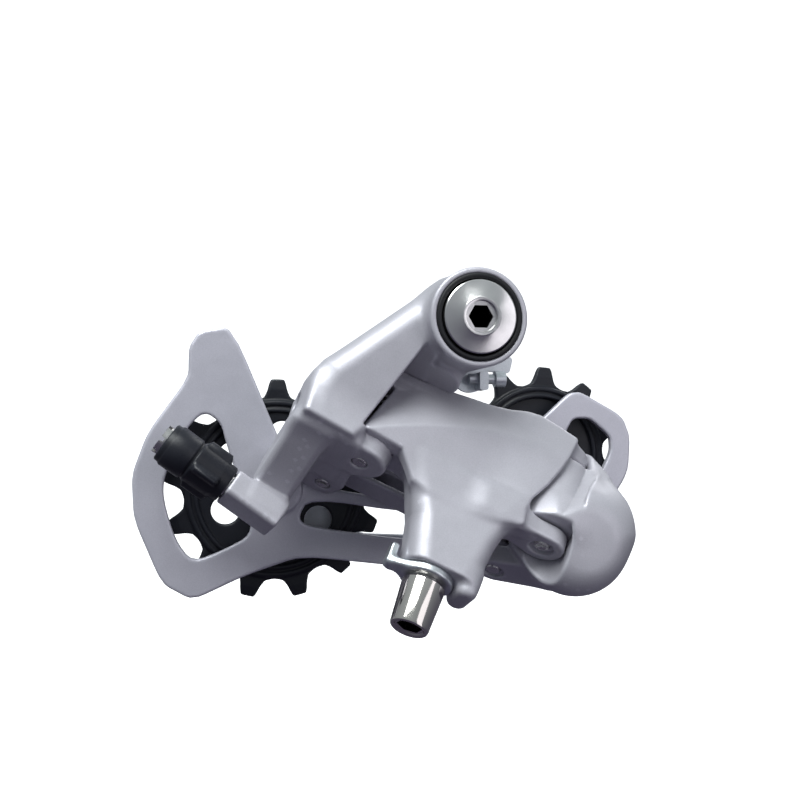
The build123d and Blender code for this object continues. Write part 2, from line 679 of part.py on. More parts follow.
# ---- chain wheels ----
hole_ring_r, hole_r, first_hole = 13.5, 3.6, 83


def chain_wheel(name, at, teeth, first_tooth, rim_half, holes=0):
    """A toothed wheel with a rim and a hub; first_tooth and the holes are angles and a count round its axis."""
    pitch_r = chain_pitch / 2 / sin(radians(180 / teeth))
    tip_r = pitch_r + 0.4
    roller = 4.05
    with BuildPart() as wheel:
        round_y(wheel_y - tooth_width / 2, wheel_y + tooth_width / 2, tip_r, at)
        with BuildSketch(side(wheel_y + 5)) as gaps:
            with Locations(at):
                with PolarLocations(pitch_r + 0.25, teeth, start_angle=first_tooth + 180 / teeth):
                    Circle(roller)
        extrude(gaps.sketch, amount=10, mode=Mode.SUBTRACT)
        # rim and hub stand proud of the thin web
        round_y(wheel_y - rim_half, wheel_y + rim_half, pitch_r - 4.4, at)
        round_y(wheel_y - 6, wheel_y - 1.3, pitch_r - 7.4, at, Mode.SUBTRACT)
        round_y(wheel_y + 1.3, wheel_y + 6, pitch_r - 7.4, at, Mode.SUBTRACT)
        round_y(plate_out[1] + 0.8 + clear, plate_in[0] - 0.8 - clear, 7.8, at)
        if holes:
            with BuildSketch(side(wheel_y + 5)) as windows:
                with Locations(at):
                    with PolarLocations(hole_ring_r, holes, start_angle=first_hole):
                        Circle(hole_r)
            extrude(windows.sketch, amount=10, mode=Mode.SUBTRACT)
        round_y(plate_out[1], plate_in[0], bush_r + fit, at, Mode.SUBTRACT)
    finish(wheel.part, name)


chain_wheel("guide_wheel", guide, guide_teeth, 117, 2.6)
chain_wheel("tension_wheel", tension, tension_teeth, -104.6, 1.9, holes=6)

print("parts written")
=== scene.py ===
"""Looks of a rear derailleur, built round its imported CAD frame. Shapes are worked out in millimetres."""
import json
from math import cos, pi, radians, sin

import bpy
import numpy as np
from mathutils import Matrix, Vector

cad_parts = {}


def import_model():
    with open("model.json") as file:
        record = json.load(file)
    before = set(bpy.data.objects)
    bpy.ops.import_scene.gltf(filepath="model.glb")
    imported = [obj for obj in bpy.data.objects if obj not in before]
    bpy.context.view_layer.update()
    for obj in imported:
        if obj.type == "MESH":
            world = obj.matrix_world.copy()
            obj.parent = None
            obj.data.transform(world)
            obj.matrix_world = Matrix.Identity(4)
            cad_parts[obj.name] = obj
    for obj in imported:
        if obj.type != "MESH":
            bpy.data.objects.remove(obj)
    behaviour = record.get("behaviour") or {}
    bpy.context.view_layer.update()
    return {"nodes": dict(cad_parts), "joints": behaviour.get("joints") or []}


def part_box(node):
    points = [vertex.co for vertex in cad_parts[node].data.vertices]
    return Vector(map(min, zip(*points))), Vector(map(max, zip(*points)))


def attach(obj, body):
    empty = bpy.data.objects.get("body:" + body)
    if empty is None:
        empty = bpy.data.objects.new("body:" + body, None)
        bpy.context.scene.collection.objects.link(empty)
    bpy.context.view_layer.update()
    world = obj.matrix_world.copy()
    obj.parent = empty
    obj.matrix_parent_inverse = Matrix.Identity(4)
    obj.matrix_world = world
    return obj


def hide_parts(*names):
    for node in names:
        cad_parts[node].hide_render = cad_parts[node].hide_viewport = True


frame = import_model()
MM = 0.001
X, Y, Z = 0, 1, 2

# ---- places taken from the frame ----
joints = {joint["name"]: joint for joint in frame["joints"]}


def joint_at(name):
    return np.array(joints[name]["pos_m"]) / MM


pin_axis = np.array(joints["link_swing"]["axis"])
link_forward = np.array([pin_axis[Z], 0.0, -pin_axis[X]]) / np.hypot(pin_axis[X], pin_axis[Z])
link_inboard = np.cross(pin_axis, link_forward)
LINK_JOINT_HEIGHT = 14.0
link_origin = joint_at("link_swing") - LINK_JOINT_HEIGHT * pin_axis
toe = joint_at("knuckle_turn") - link_origin
knuckle_outer = (toe @ link_forward, toe @ link_inboard)
link_length = np.hypot(*knuckle_outer)
LINK_TURN = -6.0
inner_pin_at = joint_at("inner_link_swing") - link_origin
inner_pin = (inner_pin_at @ link_forward, inner_pin_at @ link_inboard)
knuckle_inner = (knuckle_outer[0] + inner_pin[0], knuckle_outer[1] + inner_pin[1])
cage_axis = joint_at("cage_pivot")[[X, Z]]
guide = joint_at("guide_wheel_spin")[[X, Z]]
tension = joint_at("tension_wheel_spin")[[X, Z]]
wheel_y = joint_at("guide_wheel_spin")[Y]
adjuster_mouth = joint_at("cable_adjuster_turn")
adjuster_axis = np.array(joints["cable_adjuster_turn"]["axis"])
SWING = 50
CLEAR = 0.3
PIN_R = 2.0


# ---- distance fields: each takes points and gives the signed distance to a shape ----
FAR_AWAY = 1e9


def in_links(p, turn=0.0, at=(0.0, 0.0)):
    """Points as (along the links, inboard, up the pins), turned from the bracket's links."""
    forward = link_forward * cos(radians(turn)) + link_inboard * sin(radians(turn))
    inboard = link_inboard * cos(radians(turn)) - link_forward * sin(radians(turn))
    origin = link_origin + link_forward * at[0] + link_inboard * at[1]
    return (p - origin) @ np.array([forward, inboard, pin_axis]).T


def in_adjuster(p):
    """Points as (across, inboard, along the adjuster's axis from its mouth)."""
    across = np.cross([0.0, 1.0, 0.0], adjuster_axis)
    return (p - adjuster_mouth) @ np.array([across, [0.0, 1.0, 0.0], adjuster_axis]).T


def join(first, second, blend=0.01):
    """Both shapes, with the corner between them filled over about the width of blend."""
    soft = np.maximum(blend - np.abs(first - second), 0) / blend
    return np.minimum(first, second) - soft * soft * blend / 4


def meet(first, second, blend):
    """What two shapes share, with the edge rounded."""
    return -join(-first, -second, blend)


def cut(first, second, blend):
    """The first shape without the second, with the edge rounded."""
    return -join(-first, second, blend)


def capped(outline, height, low, high, edge):
    """Gives an outline a thickness, with rounded edges."""
    wall = outline + edge
    cap = np.abs(height - (low + high) / 2) - (high - low) / 2 + edge
    outside = np.hypot(np.maximum(wall, 0), np.maximum(cap, 0))
    return np.minimum(np.maximum(wall, cap), 0) + outside - edge


def other_axes(axis):
    return [i for i in range(3) if i != axis]


def drum(p, axis, centre, radius, low, high, edge=0.0):
    """A cylinder along an axis."""
    a, b = other_axes(axis)
    return capped(np.hypot(p[:, a] - centre[0], p[:, b] - centre[1]) - radius, p[:, axis], low, high, edge)


def inset(corners, distance):
    """A polygon with its edges moved inwards."""
    points = np.array(corners, float)
    ahead = np.roll(points, -1, axis=0) - points
    area = np.sum(points[:, 0] * np.roll(points[:, 1], -1) - np.roll(points[:, 0], -1) * points[:, 1])
    inward = np.stack([-ahead[:, 1], ahead[:, 0]], 1) * np.sign(area)
    inward /= np.linalg.norm(inward, axis=1)[:, None]
    before = np.roll(inward, 1, axis=0)
    return points + distance * (inward + before) / (1 + np.sum(inward * before, axis=1))[:, None]


def eased(corners, share=0.22, rounds=2):
    """A polygon with its corners cut again and again, towards a smooth curve."""
    points = np.array(corners, float)
    for _ in range(rounds):
        after = np.roll(points, -1, axis=0)
        step = share * (after - points)
        points = np.stack([points + step, after - step], 1).reshape(-1, 2)
    return points


def polygon(x, y, corners, rounding=0.0):
    """Distance to a polygon whose convex corners are rounded."""
    points = inset(corners, rounding)
    nearest = np.full(len(x), FAR_AWAY)
    inside = np.zeros(len(x), bool)
    for (x0, y0), (x1, y1) in zip(points, np.roll(points, -1, axis=0)):
        ex, ey = x1 - x0, y1 - y0
        px, py = x - x0, y - y0
        share = np.clip((px * ex + py * ey) / (ex * ex + ey * ey), 0, 1)
        nearest = np.minimum(nearest, (px - ex * share) ** 2 + (py - ey * share) ** 2)
        crosses = (y0 > y) != (y1 > y)
        inside ^= crosses & (px < ex * py / (ey if ey else 1e-9))
    return np.where(inside, -1, 1) * np.sqrt(nearest) - rounding


def slab(p, axis, corners, low, high, edge=0.4, rounding=0.0):
    """A plate with the outline of a polygon."""
    a, b = other_axes(axis)
    return capped(polygon(p[:, a], p[:, b], corners, rounding), p[:, axis], low, high, edge)


def belt(x, y, first, second):
    """Distance to the outline of a belt round two circles, each (x, y, radius)."""
    along = np.array([second[0] - first[0], second[1] - first[1]])
    length = np.hypot(*along)
    along = along / length
    px, py = x - first[0], y - first[1]
    s = px * along[0] + py * along[1]
    t = np.abs(px * along[1] - py * along[0])
    slope = (first[2] - second[2]) / length
    run = np.sqrt(1 - slope * slope)
    where = run * s - slope * t
    start = np.hypot(s, t) - first[2]
    end = np.hypot(s - length, t) - second[2]
    return np.where(where < 0, start, np.where(where > run * length, end, run * t + slope * s - first[2]))


def hull(p, axis, circles, low, high, edge=0.4):
    """A bar with the outline of a belt round some circles."""
    a, b = other_axes(axis)
    x, y = p[:, a], p[:, b]
    outline = belt(x, y, circles[0], circles[1])
    for first, second in zip(circles[1:], circles[2:]):
        outline = np.minimum(outline, belt(x, y, first, second))
    if len(circles) > 2:
        outline = np.minimum(outline, polygon(x, y, [c[:2] for c in circles]))
    return capped(outline, p[:, axis], low, high, edge)


# ---- meshes ----
def grid_cells(field, low, high, cell):
    """The field on a fine grid, worked out only in the coarse blocks near the surface."""
    coarse, batch = 6, 1500
    steps = (np.ceil((high - low) / (cell * coarse)).astype(int) + 1) * coarse
    values = np.empty(steps + 1, np.float32)
    blocks = steps // coarse
    index = np.stack(np.meshgrid(*[np.arange(n) for n in blocks], indexing="ij"), -1).reshape(-1, 3)
    centre = field(low + (index + 0.5) * coarse * cell)
    near = np.abs(centre) < coarse * cell * 0.87 + 1.0
    spread = np.repeat(centre.reshape(blocks), coarse, 0).repeat(coarse, 1).repeat(coarse, 2)
    values[:-1, :-1, :-1] = spread
    values[-1], values[:, -1], values[:, :, -1] = FAR_AWAY, FAR_AWAY, FAR_AWAY
    local = np.stack(np.meshgrid(*[np.arange(coarse + 1)] * 3, indexing="ij"), -1).reshape(-1, 3)
    found = index[near]
    for start in range(0, len(found), batch):
        at = (found[start : start + batch, None, :] * coarse + local).reshape(-1, 3)
        values[at[:, 0], at[:, 1], at[:, 2]] = field(low + at * cell)
    return values


CELL_CORNERS = [(i, j, k) for i in (0, 1) for j in (0, 1) for k in (0, 1)]


def crossing_centres(values, cells):
    """The mean place, within each cell, where the cell's edges cross the zero level."""
    total = np.zeros((len(cells), 3))
    hits = np.zeros(len(cells))
    for start in CELL_CORNERS:
        for axis in range(3):
            if start[axis]:
                continue
            end = list(start)
            end[axis] = 1
            a = values[tuple((cells + start).T)]
            b = values[tuple((cells + end).T)]
            crosses = (a < 0) != (b < 0)
            place = np.tile(np.array(start, float), (len(cells), 1))
            place[:, axis] = np.where(crosses, a / np.where(crosses, a - b, 1), 0)
            total += place * crosses[:, None]
            hits += crosses
    return total / hits[:, None]


def net_faces(inside, number, axis):
    """The quads across the grid edges along an axis that cross the surface."""
    b, c = (axis + 1) % 3, (axis + 2) % 3
    size = np.array(inside.shape) - 1
    lower = [slice(None)] * 3
    upper = [slice(None)] * 3
    lower[axis], upper[axis] = slice(0, -1), slice(1, None)
    first, second = inside[tuple(lower)], inside[tuple(upper)]
    edges = np.argwhere(first != second)
    edges = edges[(edges[:, b] > 0) & (edges[:, c] > 0) & (edges[:, b] < size[b]) & (edges[:, c] < size[c])]
    outward = first[tuple(edges.T)]
    quad = []
    for db, dc in ((-1, -1), (0, -1), (0, 0), (-1, 0)):
        at = edges.copy()
        at[:, b] += db
        at[:, c] += dc
        quad.append(number[tuple(at.T)])
    quad = np.stack(quad, 1)
    quad[~outward] = quad[~outward][:, ::-1]
    return quad


def surface(field, low, high, cell):
    """A quad mesh on the zero level of a field, by surface nets."""
    values = grid_cells(field, low, high, cell)
    inside = values < 0
    size = np.array(values.shape) - 1
    spans = [tuple(slice(c, c + n) for c, n in zip(corner, size)) for corner in CELL_CORNERS]
    count = sum(inside[span].astype(np.int8) for span in spans)
    mixed = (count > 0) & (count < len(CELL_CORNERS))
    cells = np.argwhere(mixed)
    number = np.full(mixed.shape, -1, np.int64)
    number[mixed] = np.arange(len(cells))
    points = low + (cells + crossing_centres(values, cells)) * cell
    faces = [net_faces(inside, number, axis) for axis in range(3)]
    return settle(field, points, cell), np.concatenate(faces)


def settle(field, points, cell):
    """Moves points onto the zero level."""
    step, rounds = 0.02, 3
    for _ in range(rounds):
        distance = field(points)
        slope = np.stack([(field(points + step * unit) - distance) / step for unit in np.eye(3)], 1)
        move = slope * (distance / np.maximum(np.sum(slope * slope, axis=1), 0.2))[:, None]
        points = points - np.clip(move, -0.6 * cell, 0.6 * cell)
    return points


def make_piece(name, points, faces, body, nodes, finish, sharp):
    """A Blender mesh from points in millimetres, riding on a body in place of its CAD nodes."""
    mesh = bpy.data.meshes.new(name)
    mesh.from_pydata((points * MM).tolist(), [], faces)
    mesh.validate()
    mesh.polygons.foreach_set("use_smooth", [True] * len(mesh.polygons))
    if sharp:
        mesh.set_sharp_from_angle(angle=radians(sharp))
    mesh.materials.append(finish)
    piece = bpy.data.objects.new(name, mesh)
    bpy.context.scene.collection.objects.link(piece)
    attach(piece, body)
    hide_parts(*nodes)


def node_box(node, margin):
    """A CAD node's box in millimetres, with room round it."""
    low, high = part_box(node)
    return np.array(low) / MM - margin, np.array(high) / MM + margin


def cast(name, field, node, body, finish, cell=0.36, margin=3.0):
    """A piece whose shape is a field, in place of its CAD node."""
    points, faces = surface(field, *node_box(node, margin), cell)
    make_piece(name, points, faces.tolist(), body, [node], finish, sharp=0)


def turned(name, rings, place, body, node, finish, segments=96, sharp=35):
    """A lathe piece in place of its CAD node.

    rings are (height, radius), where a radius may depend on the angle, and place maps to the row frame."""
    angle = np.arange(segments) * 2 * pi / segments
    points = []
    for height, radius in rings:
        r = radius(angle, height) if callable(radius) else np.full(segments, float(radius))
        points.append(np.stack([r * np.cos(angle), r * np.sin(angle), np.full(segments, float(height))], 1))
    faces = []
    for row in range(len(rings) - 1):
        for i in range(segments):
            j = (i + 1) % segments
            low, high = row * segments, (row + 1) * segments
            faces.append([low + i, low + j, high + j, high + i])
    faces.append(list(range(segments))[::-1])
    faces.append([(len(rings) - 1) * segments + i for i in range(segments)])
    make_piece(name, place(np.concatenate(points)), faces, body, [node], finish, sharp)


def along(origin, direction):
    """Places lathe points so that their height runs from origin along direction."""
    axis = np.array(direction, float) / np.linalg.norm(direction)
    first = np.cross([0.0, 1.0, 0.0], axis)
    if np.linalg.norm(first) < 0.1:
        first = np.cross([1.0, 0.0, 0.0], axis)
    first /= np.linalg.norm(first)
    second = np.cross(axis, first)
    return lambda q: np.asarray(origin) + q @ np.array([first, second, axis])


def hexagon(across_flats):
    """A ring's radius as it goes round a hexagon."""
    return lambda angle, height: across_flats / 2 / np.cos((angle + pi / 6) % (pi / 3) - pi / 6)


# ---- materials ----
def new_material(name):
    material = bpy.data.materials.new(name)
    material.use_nodes = True
    return material, material.node_tree.nodes, material.node_tree.links


def finish_material(name, colour, metallic, roughness, grain=2400, depth=0.02, bump=0.25, mottle=0.06,
                    wear_and_hollow_shade=0.12, speckle=0.0, anisotropy=0.0, gloss=0.5):
    """One finish: a colour that drifts and speckles, a fine bumped grain, brighter worn edges, and hollows
    darkened as painted shade.

    grain is the bump's noise scale and depth its height in millimetres."""
    material, nodes, wires = new_material(name)
    shader = nodes["Principled BSDF"]
    shader.inputs["Metallic"].default_value = metallic
    shader.inputs["Specular IOR Level"].default_value = gloss
    shader.inputs["Anisotropic"].default_value = anisotropy
    place = nodes.new("ShaderNodeTexCoord")

    def noise(scale, detail):
        node = nodes.new("ShaderNodeTexNoise")
        node.inputs["Scale"].default_value = scale
        node.inputs["Detail"].default_value = detail
        wires.new(place.outputs["Object"], node.inputs["Vector"])
        return node.outputs["Fac"]

    def ranged(value, low, high, start=0.3, end=0.7):
        node = nodes.new("ShaderNodeMapRange")
        for key, number in (("From Min", start), ("From Max", end), ("To Min", low), ("To Max", high)):
            node.inputs[key].default_value = number
        wires.new(value, node.inputs["Value"])
        return node.outputs["Result"]

    def scaled(tone, factor):
        node = nodes.new("ShaderNodeVectorMath")
        node.operation = "SCALE"
        wires.new(factor, node.inputs["Scale"])
        if isinstance(tone, tuple):
            node.inputs[0].default_value = tone
        else:
            wires.new(tone, node.inputs[0])
        return node.outputs["Vector"]

    tone = scaled(colour, ranged(noise(90, 2.0), 1 - mottle, 1 + mottle))
    if speckle:
        tone = scaled(tone, ranged(noise(grain * 2, 1.0), 1 - speckle, 1 + speckle))
    # Pointiness tone: worn convex edges are brighter, and creases and hollows are darker as painted shade.
    edge = nodes.new("ShaderNodeNewGeometry")
    tone = scaled(tone, ranged(edge.outputs["Pointiness"], 1 - wear_and_hollow_shade, 1 + wear_and_hollow_shade, 0.44, 0.56))
    wires.new(tone, shader.inputs["Base Color"])
    wires.new(ranged(noise(400, 4.0), roughness * 0.88, roughness * 1.12), shader.inputs["Roughness"])
    bumps = nodes.new("ShaderNodeBump")
    bumps.inputs["Strength"].default_value = bump
    bumps.inputs["Distance"].default_value = depth * MM
    wires.new(noise(grain, 4.0), bumps.inputs["Height"])
    wires.new(bumps.outputs["Normal"], shader.inputs["Normal"])
    return material


casting = finish_material("silver_casting", (0.455, 0.447, 0.492), metallic=0.35, roughness=0.47,
                          grain=1900, depth=0.05, bump=0.35, mottle=0.04, wear_and_hollow_shade=0.16, speckle=0.05)
plate_paint = finish_material("silver_plate", (0.5, 0.492, 0.552), metallic=0.35, roughness=0.46,
                              grain=2600, depth=0.04, bump=0.3, mottle=0.03, wear_and_hollow_shade=0.12, speckle=0.05)
bright_paint = finish_material("bright_plate", (0.66, 0.67, 0.72), metallic=0.35, roughness=0.4, grain=2600,
                               depth=0.03, bump=0.25, mottle=0.03, wear_and_hollow_shade=0.1, speckle=0.03)
polished = finish_material("machined_bolt", (0.7, 0.69, 0.69), metallic=1.0, roughness=0.24, grain=900,
                           depth=0.01, bump=0.12, mottle=0.03, wear_and_hollow_shade=0.05, anisotropy=0.6)
nickel = finish_material("nickel_bolt", (0.62, 0.59, 0.56), metallic=1.0, roughness=0.1, grain=900,
                         depth=0.01, bump=0.1, mottle=0.05, wear_and_hollow_shade=0.06)
dull_nickel = finish_material("nickel_steel", (0.62, 0.61, 0.6), metallic=1.0, roughness=0.26, grain=1500,
                              depth=0.02, bump=0.2, mottle=0.05, wear_and_hollow_shade=0.08)
zinc = finish_material("zinc_steel", (0.6, 0.63, 0.66), metallic=0.9, roughness=0.36, grain=1600,
                       depth=0.04, bump=0.35, mottle=0.08, wear_and_hollow_shade=0.12, speckle=0.06)
wire_steel = finish_material("spring_steel", (0.33, 0.33, 0.34), metallic=0.9, roughness=0.33, grain=1800,
                             depth=0.02, bump=0.3, mottle=0.08, wear_and_hollow_shade=0.05)
bronze = finish_material("bronze_bush", (0.55, 0.4, 0.22), metallic=0.9, roughness=0.35, grain=2200,
                         depth=0.03, bump=0.4, mottle=0.08, wear_and_hollow_shade=0.08, speckle=0.08)
plastic = finish_material("black_plastic", (0.01, 0.011, 0.016), metallic=0.0, roughness=0.42, grain=2000,
                          depth=0.05, bump=0.4, mottle=0.1, wear_and_hollow_shade=0.3, speckle=0.05, gloss=0.3)
rubber = finish_material("black_rubber", (0.009, 0.009, 0.011), metallic=0.0, roughness=0.5, grain=2400,
                         depth=0.06, bump=0.35, mottle=0.1, wear_and_hollow_shade=0.2, speckle=0.05, gloss=0.3)


# ---- castings ----
# Outlines are (x, z), or on the links (along them, up the pins) or (along them, inboard).
CENTRE = (0.0, 0.0)
ARM = [(-5, 9.2), (-6.5, 9.4), (-33.6, -9.4), (-37.2, -14.2), (-40.4, -24.5), (-40, -46), (-20, -42),
       (-8, -8), (-4, -9)]
ARM_FACE, ARM_BACK = -21.5, -5.0
WEB = [(-5.0, 0), (-17.5, 0), (-19.0, 11), (-10, 25.5), (-2, 29.2), (3, 29.2), (3, 24.9)]
LOWER_EAR_TOP = 4.0
UPPER_EAR_FOOT, UPPER_EAR_TOP = 24.9, 29.2
INNER_EAR_TOP = 12.5
EAR_R = 6.2
LOWER_EAR = [(-3.0, -EAR_R), (-16.5, -6.4), (-18.0, 0.0), (-17.0, 17.0), (-12.0, 21.6), (0.0, 21.6),
             (1.8, 15.0), (0.8, 8.5), (2.0, 3.0)]
BELOW_GAP = [(-3.0, -5.0), (60.0, -5.0), (60.0, LOWER_EAR_TOP), (-3.0, LOWER_EAR_TOP)]
FORK_GAP = [(-6.3, LOWER_EAR_TOP), (60, LOWER_EAR_TOP), (60, UPPER_EAR_FOOT), (-2.4, UPPER_EAR_FOOT)]
FRONT_GAP = [(-4.4, LOWER_EAR_TOP), (60, LOWER_EAR_TOP), (60, UPPER_EAR_FOOT), (-0.4, UPPER_EAR_FOOT)]
NECK = [(-4.5, 1.5), (-5.5, -0.5), (12.5, -9.6), (12.5, -14.6), (20.0, -14.6), (20.6, -6), (20.6, 2.5)]
BARREL_R, BARREL_FACE, BARREL_END = 11.4, -26.1, -3.6
BLOCK_TURN, BLOCK_LENGTH = 27.8, 13.8
BLOCK_HALF, BLOCK_CORNER = np.array([4.3, 3.3]), 1.2


def adjuster_block(p):
    """The rounded square bar that the cable adjuster screws into."""
    q = in_adjuster(p)
    turn = radians(90 + BLOCK_TURN)
    a = q[:, 0] * cos(turn) + q[:, 1] * sin(turn)
    b = q[:, 1] * cos(turn) - q[:, 0] * sin(turn)
    half = BLOCK_HALF - BLOCK_CORNER
    outline = np.hypot(np.maximum(np.abs(a) - half[0], 0), np.maximum(np.abs(b) - half[1], 0)) - BLOCK_CORNER
    return capped(outline, q[:, 2], -BLOCK_LENGTH, 0.0, 0.5)


def bracket_solid(p, q):
    """The barrel, arm, web, ears, neck and adjuster block, before the holes."""
    body = join(slab(p, Y, ARM, ARM_FACE, ARM_BACK, 5.0, 1.0), slab(q, Y, WEB, -9.0, 9.0, 1.2, 1.2), 2.5)
    body = meet(body, -q[:, Z], 0.6)
    body = cut(body, slab(q, Y, BELOW_GAP, -30.0, 30.0, 0.1), 1.0)
    upper_ear = hull(q, Z, [(0, 0, 6.0), (-8, 0, 5.0), (8, -9, 5.0)], UPPER_EAR_FOOT, UPPER_EAR_TOP, 0.6)
    lower_ear = slab(q, Z, LOWER_EAR, 0.0, LOWER_EAR_TOP, 1.0, 3.0)
    lower_ear = join(lower_ear, hull(q, Z, [(0, 0, EAR_R), (-12, 0, EAR_R)], 0.0, LOWER_EAR_TOP, 1.0), 1.0)
    inner_wall = hull(q, Z, [(-13.5, 14, 2.6), (-13, 6, 4.0)], 0.0, INNER_EAR_TOP, 0.5)
    body = join(body, join(upper_ear, lower_ear), 2.0)
    body = join(body, inner_wall, 1.2)
    gap = np.minimum(slab(q, Y, FORK_GAP, -5.0, 24.0, 0.1), slab(q, Y, FRONT_GAP, -30.0, -4.8, 0.1))
    body = cut(body, gap, 0.5)
    body = cut(body, drum(q, Z, CENTRE, 5.3, LOWER_EAR_TOP, UPPER_EAR_FOOT), 0.3)
    body = join(body, hull(q, Z, [(*inner_pin, 4.2), (-12, 7, 5.0)], 10.3, INNER_EAR_TOP, 0.4), 0.6)
    body = join(body, drum(p, Y, CENTRE, BARREL_R, BARREL_FACE, BARREL_END, 0.7), 2.2)
    across_links = q[:, [Y, X, Z]]
    body = join(body, slab(across_links, Y, NECK, -18.4, -8.8, 1.6, 0.8), 2.4)
    return join(body, adjuster_block(p), 1.8)


def bracket_field(p):
    """The bracket, bored for the mounting bolt, the pins, the adjuster and the limit screws."""
    q, mouth = in_links(p), in_adjuster(p)
    body = bracket_solid(p, q)
    body = cut(body, drum(mouth, Z, CENTRE, 2.5, -8.5, 4.0), 0.2)
    body = cut(body, drum(mouth, Z, CENTRE, 1.3, -40.0, 4.0), 0.2)
    body = cut(body, drum(q, Z, CENTRE, PIN_R, -3.0, 34.0), 0.3)
    body = cut(body, drum(q, Z, inner_pin, PIN_R, -3.0, 16.0), 0.3)
    for radius, low, high, edge in ((10.0, -30.0, -24.7, 0.3), (8.75, -30.0, -23.4, 0.2),
                                    (7.2, -30.0, 9.0, 0.2), (9.4, -18.2, -8.8, 0.2)):
        body = cut(body, drum(p, Y, CENTRE, radius, low, high), edge)
    for screw in ("low_limit_turn", "high_limit_turn"):
        along_links, inboard, height = in_links(joint_at(screw)[None])[0]
        body = cut(body, drum(q, X, (inboard, height), 1.55, -26.0, 0.0), 0.3)
        body = cut(body, drum(q, X, (inboard, height), 2.8, -30.0, along_links), 0.3)
    return body


CLAMP_AT, CLAMP_BOLT_R = (23.9, 1.8), 2.5
NOSE_FACE, NOSE_ROOT = -17.0, 4.9
LINK_FOOT, LINK_TOP = 4.3, 24.6
CREST = -8.9
# each toe as its foot, its top and where along the link it begins
LOW_TOE, HIGH_TOE = (0.7, 4.9, 30.0), (24.4, 28.6, 33.5)
TOE_R = 5.3
LINK_WALL = [(-3.2, 3.7), (1.2, 23.6), (9.7, 25.8), (23.7, 27.4), (35.5, 30.3), (46.2, 28.6), (45.0, 21.7),
             (43.8, 17.5), (42.0, 12.6), (39.5, 7.7), (38.0, 4.3), (38.6, 0.2), (12.0, -1.0), (7.0, 4.0)]


def nose_field(o):
    """The nose narrows and turns inboard as it goes down to the cable clamp."""
    height = np.clip(o[:, Z], NOSE_FACE, NOSE_ROOT)
    knots = [NOSE_FACE, -7.0, NOSE_ROOT]
    centre_u = np.interp(height, knots, [25.9, 25.4, 24.4])
    centre_v = np.interp(height, knots, [1.2, 0.5, -0.6])
    half_u = np.interp(height, knots, [8.5, 10.2, 14.0])
    half_v = np.interp(height, knots, [6.3, 6.1, 5.3])
    corner = np.interp(height, knots, [5.0, 4.4, 3.0])
    a = np.abs(o[:, X] - centre_u) - half_u + corner
    b = np.abs(o[:, Y] - centre_v) - half_v + corner
    outline = np.hypot(np.maximum(a, 0), np.maximum(b, 0)) + np.minimum(np.maximum(a, b), 0) - corner
    return capped(outline * 0.93, o[:, Z], NOSE_FACE, 6.0, 0.5)


def link_wall(o):
    """The link's outer wall: two faces that meet at a crease, flattening towards the knuckle."""
    u, v, w = o.T
    crease = 5.3 + 0.72 * u - 0.0080 * u * u
    far = np.clip((u - 24.0) / 16.0, 0, 1)
    far = far * far * (3 - 2 * far)
    above = np.minimum(CREST + (0.26 - 0.12 * far) * (w - crease), -5.6)
    below = CREST + (0.25 - 0.15 * far) * (crease - w)
    roof = meet((above - v) * 0.95, (below - v) * 0.92, 0.25)
    wall = meet(slab(o, Y, LINK_WALL, -9.8, -3.0, 0.6, 0.9), roof, 0.8)
    return meet(wall, (v + 3.4 + 3.2 * far) * 0.95, 0.5)


def outer_link_field(p):
    """The link's wall, its ears and flanges, two toes at the knuckle and the nose, bored for its pins."""
    o = in_links(p, LINK_TURN)
    body = link_wall(o)
    for low, high in ((LINK_FOOT, 9.0), (19.8, LINK_TOP)):
        body = join(body, drum(o, Z, CENTRE, 5.0, low, high, 0.4), 0.8)
        body = join(body, slab(o, Z, [(-0.5, -5.6), (5.0, -5.6), (4.6, 1), (-0.5, 1)], low, high, 0.3), 0.5)
    top_flange = slab(o, Z, [(0, -5.4), (36, -5.4), (38.5, 3.2), (0, 4.4)], 22.4, LINK_TOP, 0.4, 0.5)
    low_flange = slab(o, Z, [(0, -5.4), (16, -5.4), (16, 4.6), (0, 4.6)], LINK_FOOT, 6.7, 0.4, 0.5)
    body = join(body, join(top_flange, low_flange), 1.0)
    for low, high, root in (LOW_TOE, HIGH_TOE):
        toe_bar = hull(o, Z, [(link_length, 0, TOE_R), (root, -2.6, 3.2), (root, 2.2, 1.6)], low, high, 0.7)
        tie = hull(o, Z, [(link_length - 6.5, -3.0, 2.4), (root, -3.4, 2.4)], low, high, 0.7)
        body = join(body, join(toe_bar, tie, 1.5), 3.5)
    body = join(body, nose_field(o), 3.0)
    shoulder = hull(o, Z, [(32.6, -1.4, 2.4), (32.6, 4.0, 2.4)], NOSE_FACE - 2.8, NOSE_FACE + 4.4, 1.6)
    body = join(body, shoulder, 2.0)
    body = cut(body, drum(o, Z, CENTRE, PIN_R + 0.03, -3.0, 34.0), 0.2)
    body = cut(body, drum(o, Z, (link_length, 0), PIN_R, -3.0, 34.0), 0.2)
    body = cut(body, drum(o, Z, (link_length, 0), 3.0, -3.0, 1.7), 0.3)
    return cut(body, drum(o, Z, CLAMP_AT, CLAMP_BOLT_R, -24.0, -2.0), 0.2)


# where the wall ends, as (height up the pins, distance along the link)
LINK_END = [(2.2, 38.3), (4.3, 38.0), (7.7, 39.5), (12.6, 42.0), (17.5, 43.8), (21.7, 45.0), (27.5, 45.9)]


